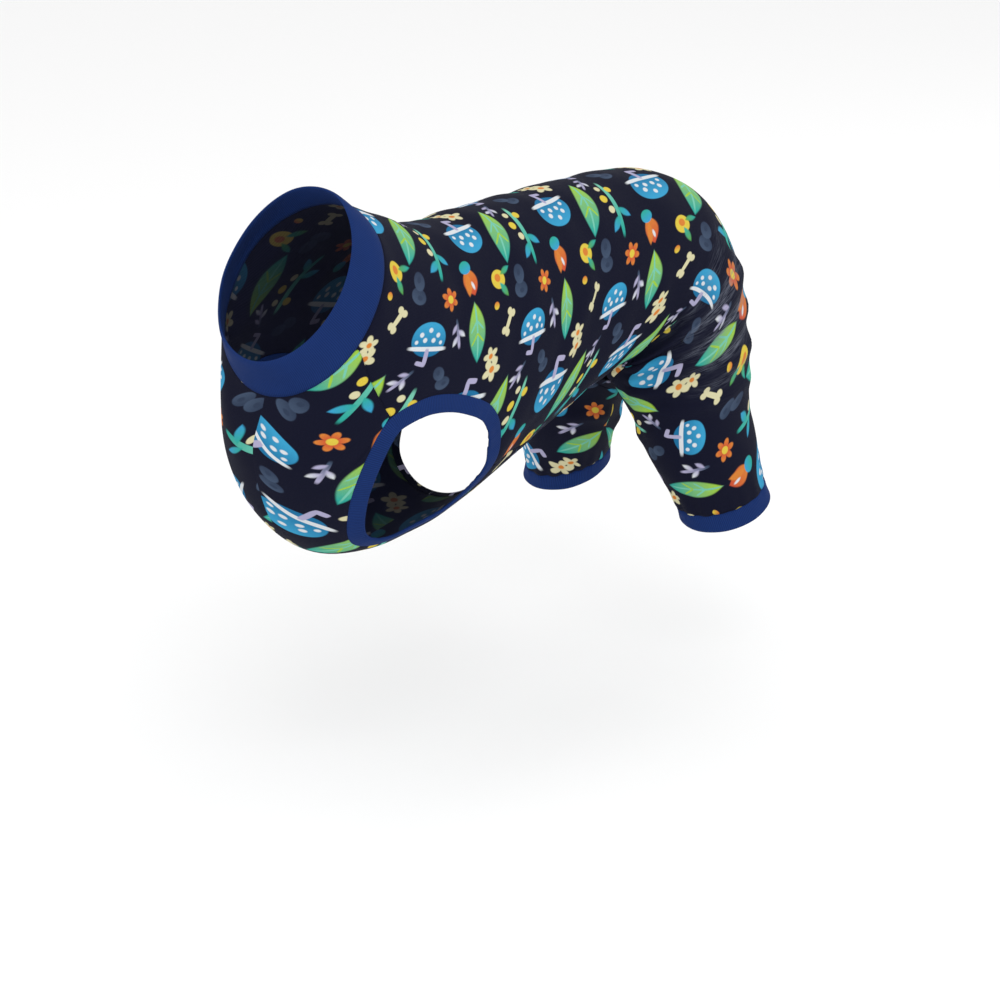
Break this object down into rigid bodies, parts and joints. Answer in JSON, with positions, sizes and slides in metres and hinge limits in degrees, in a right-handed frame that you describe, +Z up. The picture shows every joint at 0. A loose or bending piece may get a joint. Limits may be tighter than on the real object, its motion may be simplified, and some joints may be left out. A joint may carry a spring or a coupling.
{
  "type": "dog jumpsuit",
  "caption": "Pull-on dog jumpsuit in printed jersey with a ribbed collar, bound armholes, an open belly, a tail hole and two hind sleeves with ribbed cuffs.",
  "frame": {"origin": "the inner face of the back panel over the wearer's withers, on the mirror plane, where the jumpsuit hangs", "axes": "+Z up, -Y towards the wearer's head, +X towards the wearer's left, as worn by a standing dog"},
  "size_m": [0.2294, 0.4868, 0.3179],
  "materials": {
    "printed_jersey": "matte stretch jersey, near-black navy ground with a small bright print",
    "blue_rib": "matte fine rib knit, royal blue"
  },
  "bodies": {
    "root": {"back_panel": "printed_jersey", "belly_panel": "printed_jersey", "belly_edge_binding": "printed_jersey", "tail_hole_binding": "printed_jersey", "neck_band": "blue_rib", "armhole_binding_left": "blue_rib", "armhole_binding_right": "blue_rib", "leg_cuff_left": "blue_rib", "leg_cuff_right": "blue_rib"}
  },
  "joints": []
}
